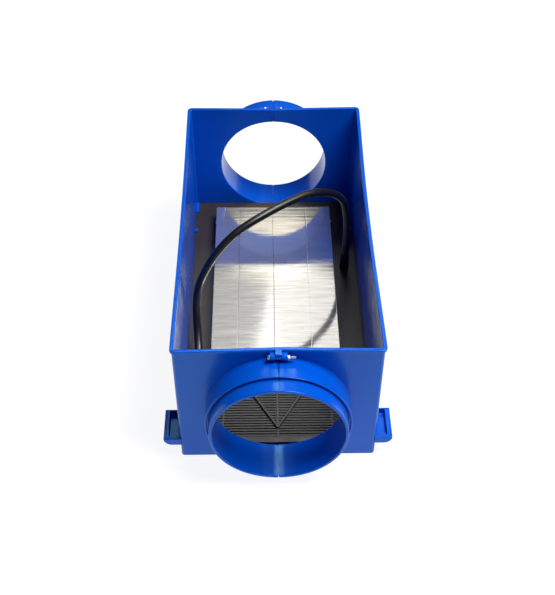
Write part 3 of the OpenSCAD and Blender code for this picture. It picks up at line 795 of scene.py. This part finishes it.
def shroud():
    """Four long strips of bright sheet, nearly flat, with fine cross creases."""
    y0, y1, pitch = -115.0, 178.0, 7.6
    top = 38.0
    xs = [-78.6, -47.0, -2.0, 43.0, 76.6]
    obs = []
    for s in range(4):
        a = xs[s] + (0.16 if s else 0.0)
        b = xs[s + 1] - (0.16 if s < 3 else 0.0)
        left_out, right_out = s == 0, s == 3
        ys, zs = [y0, y0 + 0.25], [top - 0.16, top - 0.07]
        y = y0
        while y < y1 - 0.5:
            ye = min(y + pitch, y1)
            lean = rng.uniform(-1, 1)*0.002
            crown = 0.0025 + rng.uniform(-0.0015, 0.0015)
            for t in (0.12, 0.3, 0.5, 0.7, 0.88):
                ys.append(y + (ye - y)*t)
                zs.append(top - 0.05 + lean*(t - 0.5)*2 + crown*(1 - (2*t - 1)**2))
            if ye < y1 - 0.5:
                ys += [ye - 0.25, ye + 0.25]
                zs += [top - 0.053, top - 0.053]
            y = ye
        ys += [y1 - 0.25, y1]
        zs += [top - 0.07, top - 0.16]
        tilt = rng.uniform(-1, 1)*0.010
        lin = [(a, 0.06 if left_out else 0.012), (a + 0.3, 0.01 if left_out else 0.002), (a + 0.9, 0.0)]
        lin += [(a + (b - a)*t, 0.0) for t in (0.25, 0.5, 0.75)]
        lin += [(b - 0.9, 0.0), (b - 0.3, 0.01 if right_out else 0.002), (b, 0.06 if right_out else 0.012)]
        verts, cols = [], []
        for x, d in lin:
            cols.append(list(range(len(verts), len(verts) + len(ys))))
            verts += [(x, y, min(top, z - d + tilt*((x - a)/(b - a) - 0.5)*2)) for y, z in zip(ys, zs)]
        for out, x in ((left_out, a), (right_out, b)):
            if out:
                low = []
                for zz in (top - 2.0, 21.0):
                    low.append(list(range(len(verts), len(verts) + len(ys))))
                    verts += [(x, y, zz) for y in ys]
                cols = [low[1], low[0]] + cols if x == a else cols + low
        ny = len(ys)
        faces = []
        for c, d in zip(cols, cols[1:]):
            faces += [(c[i], d[i], d[i + 1], c[i + 1]) for i in range(ny - 1)]
        # thickness: a copy 0.9 mm inside
        nv = len(verts)

        def inner(v):
            x, y, z = v
            if left_out and x < a + 0.01:
                x += 0.9
            elif right_out and x > b - 0.01:
                x -= 0.9
            return (x, y, min(z, top - 1.0))
        verts += [inner(v) for v in verts[:nv]]
        for c, d in zip(cols, cols[1:]):
            faces += [(nv + c[i], nv + c[i + 1], nv + d[i + 1], nv + d[i]) for i in range(ny - 1)]
        rim = [c[0] for c in cols] + cols[-1][1:] + [c[-1] for c in cols[::-1]][1:] + cols[0][::-1][1:-1]
        for i in range(len(rim)):
            p, q = rim[i], rim[(i + 1) % len(rim)]
            faces.append((p, q, nv + q, nv + p))
        obs.append(add("strip", verts, faces))
    out = merged("shroud", obs, M["sheet"])
    smooth(out, 40, False)
    return finish_piece(out, "housing", "bright_aluminium", "shroud_panels")


shroud()

# ------------------------------------------------------------------ carried-over CAD nodes

LOOKS = {
    "lamp_tray": "tray", "window_bezel": "tray", "heat_sink": "fins", "led_boards": "white_board", "led_chips": "phosphor",
    "window_glass": "glass", "window_gasket": "rubber", "driver_board": "green_board", "driver_parts": "parts",
    "driver_spacers": "nylon", "terminal_block": "nylon", "supply_leads": "cores", "tray_screws": "zinc",
    "heat_sink_screws": "zinc", "shroud_screws": "zinc", "led_board_screws": "zinc", "bezel_screws": "zinc",
    "connector_tail": "rubber", "connector_body": "moulding", "connector_ring": "moulding", "connector_insert": "insert",
    "connector_pins": "brass",
}
BEVEL = {"lamp_tray": 0.5, "window_bezel": 0.5, "heat_sink": 0.15, "driver_parts": 0.3, "connector_body": 0.4,
         "connector_tail": 0.3, "terminal_block": 0.3}
for node, look in LOOKS.items():
    ob = N[node]
    ob.data.materials.clear()
    ob.data.materials.append(M[look])
    if node in BEVEL:
        md = ob.modifiers.new("bevel", "BEVEL")
        md.width = BEVEL[node]*MM
        md.segments = 2
        md.limit_method = "ANGLE"
        md.angle_limit = math.radians(40)
        md.harden_normals = False

# ------------------------------------------------------------------ floor and light

floor_me = bpy.data.meshes.new("floor")
floor_me.from_pydata([(-6, -6, -0.0006), (6, -6, -0.0006), (6, 6, -0.0006), (-6, 6, -0.0006)], [], [(0, 1, 2, 3)])
floor = bpy.data.objects.new("floor", floor_me)
scene.collection.objects.link(floor)
mt, nt, b = nodes_of("pale_floor")
link(nt, ramp(nt, noise(nt, coords(nt), 3), [(0.3, (0.195, 0.195, 0.195)), (0.7, (0.205, 0.205, 0.205))]), b.inputs["Base Color"])
b.inputs["Roughness"].default_value = 0.9
b.inputs["Specular IOR Level"].default_value = 0.1
b.inputs["Emission Color"].default_value = (1, 1, 1, 1)
b.inputs["Emission Strength"].default_value = 0.90
floor_me.materials.append(mt)

world = bpy.data.worlds.new("world")
world.use_nodes = True
world.node_tree.nodes["Background"].inputs["Color"].default_value = (1, 1, 1, 1)
world.node_tree.nodes["Background"].inputs["Strength"].default_value = 0.05
scene.world = world


def area(name, loc, target, size, radiance, color=(1, 1, 1)):
    """Soft panel of a given brightness, facing the target."""
    d = bpy.data.lights.new(name, "AREA")
    d.shape = "RECTANGLE"
    d.size, d.size_y = size
    d.energy = radiance*math.pi*size[0]*size[1]
    d.color = color
    o = bpy.data.objects.new(name, d)
    scene.collection.objects.link(o)
    o.matrix_world = Matrix.Translation(loc) @ (Vector(target) - Vector(loc)).to_track_quat("-Z", "Y").to_matrix().to_4x4()
    return o


def rear_panel(name, az0, az1, el0, el1, dist, radiance, color=(1, 1, 1), roll=0.0, shape="RECTANGLE"):
    """Panel behind the object that fills a range of azimuth (from +Y to +X) and elevation, in degrees."""
    az, el = math.radians((az0 + az1)/2), math.radians((el0 + el1)/2)
    loc = Vector((math.sin(az)*math.cos(el), math.cos(az)*math.cos(el), math.sin(el)))*dist + Vector((0, 0, 0.04))
    w = 2*dist*math.cos(el)*math.tan(math.radians(az1 - az0)/2)
    h = 2*dist*math.tan(math.radians(el1 - el0)/2)
    o = area(name, loc, (0, 0, 0.04), (w, h), radiance, color)
    o.data.shape = shape
    if shape == "ELLIPSE":
        o.data.energy *= math.pi/4
    o.matrix_world = o.matrix_world @ Matrix.Rotation(math.radians(roll), 4, "Z")
    return o


area("over", (0.72, -0.22, 1.80), (0, 0, 0.1), (0.85, 0.85), 19.0)
rear_panel("rear_low", -4.6, 6.0, 38.6, 43.6, 3.0, 1.10, (1.0, 0.92, 0.76), 0, "ELLIPSE")
rear_panel("rear_right", -0.9, 13, 42.8, 53, 3.02, 1.0, (1.0, 0.985, 0.96), -9)
rear_panel("rear_left", -13, 1.0, 42.6, 53, 3.05, 0.42, (1.0, 0.985, 0.965))
rear_panel("rear_high", -10, 10, 53.5, 61, 3.0, 8.5)
rear_panel("streak_right", 15, 30, 38, 50, 3.0, 4.0)
rear_panel("streak_left", -27, -17, 38, 50, 3.0, 2.4)

scene.view_settings.view_transform = "Standard"
